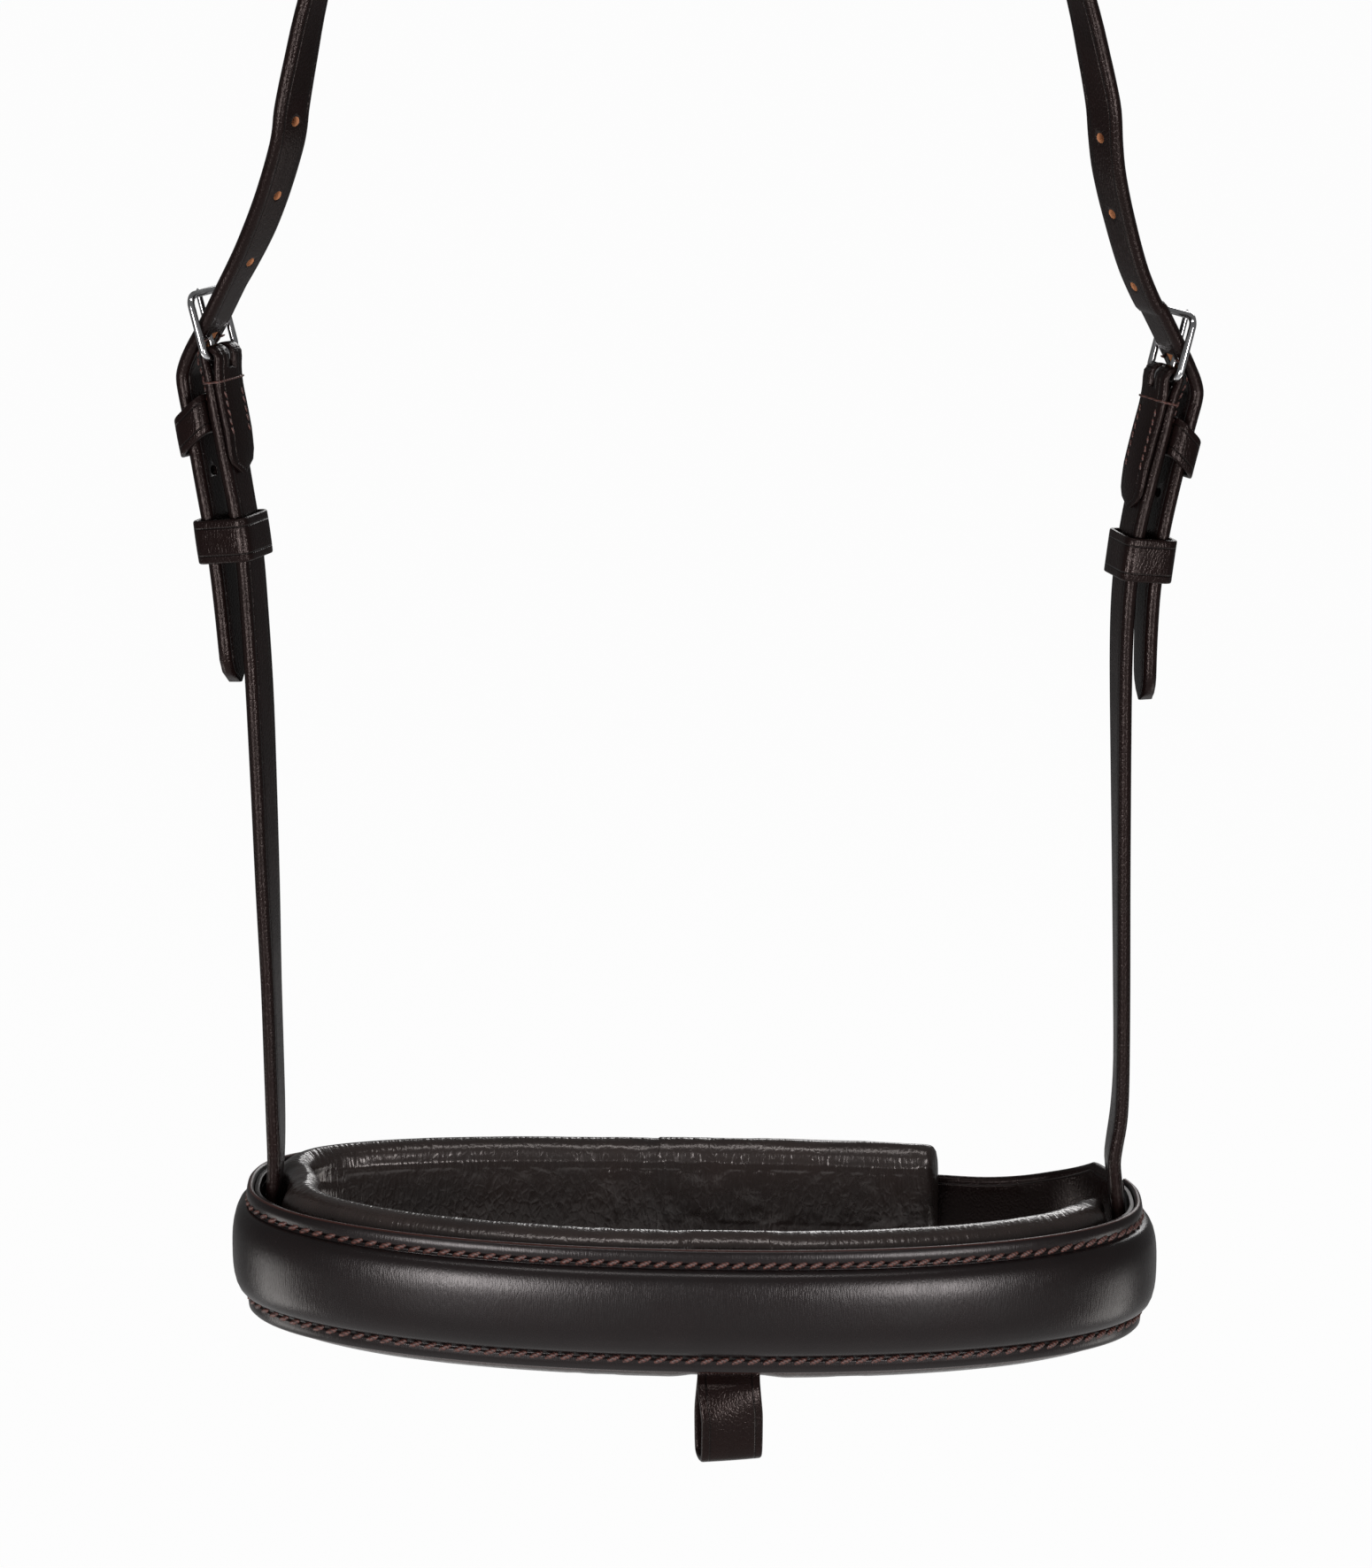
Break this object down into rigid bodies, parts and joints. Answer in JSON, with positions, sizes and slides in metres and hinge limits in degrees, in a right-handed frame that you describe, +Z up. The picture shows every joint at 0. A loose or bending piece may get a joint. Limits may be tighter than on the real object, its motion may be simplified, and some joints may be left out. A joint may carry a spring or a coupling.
{
  "type": "horse bridle noseband",
  "caption": "Padded leather noseband on its hanger straps, with buckled head strap, keepers, jaw strap and flash loop.",
  "frame": {"origin": "middle of the flat underside of the head strap, where it lies on the horse's poll", "axes": "+Z up along the hanging straps, -Y towards the front of the horse's nose, +X to the right in the picture"},
  "size_m": [0.3031, 0.1253, 0.5299],
  "materials": {
    "bridle_leather": "satin",
    "lining_leather": "soft grained",
    "core_filler": "raw",
    "foam": "matte",
    "steel": "polished",
    "thread": "waxed"
  },
  "bodies": {
    "strapwork": {"headstrap": "bridle_leather", "left_hanger": "bridle_leather", "left_fixed_keeper": "bridle_leather", "right_hanger": "bridle_leather", "right_fixed_keeper": "bridle_leather", "noseband_outer": "bridle_leather", "noseband_core": "core_filler", "noseband_backing": "bridle_leather", "noseband_lining": "lining_leather", "noseband_foam": "foam", "jaw_pad_lining": "lining_leather", "jaw_pad_foam": "foam", "jaw_pad_backing": "bridle_leather", "jaw_chape_strap": "bridle_leather", "jaw_billet_strap": "bridle_leather", "jaw_fixed_keeper": "bridle_leather", "flash_loop": "bridle_leather"},
    "left_frame": {"left_buckle_frame": "steel"},
    "left_tongue": {"left_tongue": "steel"},
    "left_runner": {"left_runner_keeper": "bridle_leather"},
    "right_frame": {"right_buckle_frame": "steel"},
    "right_tongue": {"right_tongue": "steel"},
    "right_runner": {"right_runner_keeper": "bridle_leather"},
    "jaw_frame": {"jaw_buckle_frame": "steel"},
    "jaw_tongue": {"jaw_tongue": "steel"},
    "jaw_runner": {"jaw_runner_keeper": "bridle_leather"}
  },
  "joints": [
    {"name": "left_frame_tilt", "type": "hinge", "parent": "strapwork", "child": "left_frame", "pos_m": [-0.1391, 0.00641, -0.2048], "axis": [-0.5, -0.866, 0], "range_deg": [-4, 6]},
    {"name": "left_tongue_lift", "type": "hinge", "parent": "left_frame", "child": "left_tongue", "pos_m": [-0.1391, 0.00641, -0.2048], "axis": [-0.5, -0.866, 0], "range_deg": [0, 8]},
    {"name": "left_runner_slide", "type": "slide", "parent": "strapwork", "child": "left_runner", "axis": [0.1291, -0.0599, -0.9898], "range_m": [-0.008, 0.008]},
    {"name": "right_frame_tilt", "type": "hinge", "parent": "strapwork", "child": "right_frame", "pos_m": [0.1376, 0.00499, -0.2108], "axis": [-0.4629, 0.8864, -0.0064], "range_deg": [-4, 6]},
    {"name": "right_tongue_lift", "type": "hinge", "parent": "right_frame", "child": "right_tongue", "pos_m": [0.1376, 0.00499, -0.2108], "axis": [-0.4629, 0.8864, -0.0064], "range_deg": [0, 8]},
    {"name": "right_runner_slide", "type": "slide", "parent": "strapwork", "child": "right_runner", "axis": [-0.1267, -0.0338, -0.9914], "range_m": [-0.005, 0.008]},
    {"name": "jaw_frame_tilt", "type": "hinge", "parent": "strapwork", "child": "jaw_frame", "pos_m": [0.008, 0.0519, -0.47765], "axis": [0.0185, 0, 0.9998], "range_deg": [-2, 6]},
    {"name": "jaw_tongue_lift", "type": "hinge", "parent": "jaw_frame", "child": "jaw_tongue", "pos_m": [0.008, 0.0519, -0.47765], "axis": [0.0185, 0, 0.9998], "range_deg": [0, 8]},
    {"name": "jaw_runner_slide", "type": "slide", "parent": "strapwork", "child": "jaw_runner", "axis": [-0.9993, -0.0314, 0.0185], "range_m": [-0.012, 0.006]}
  ]
}
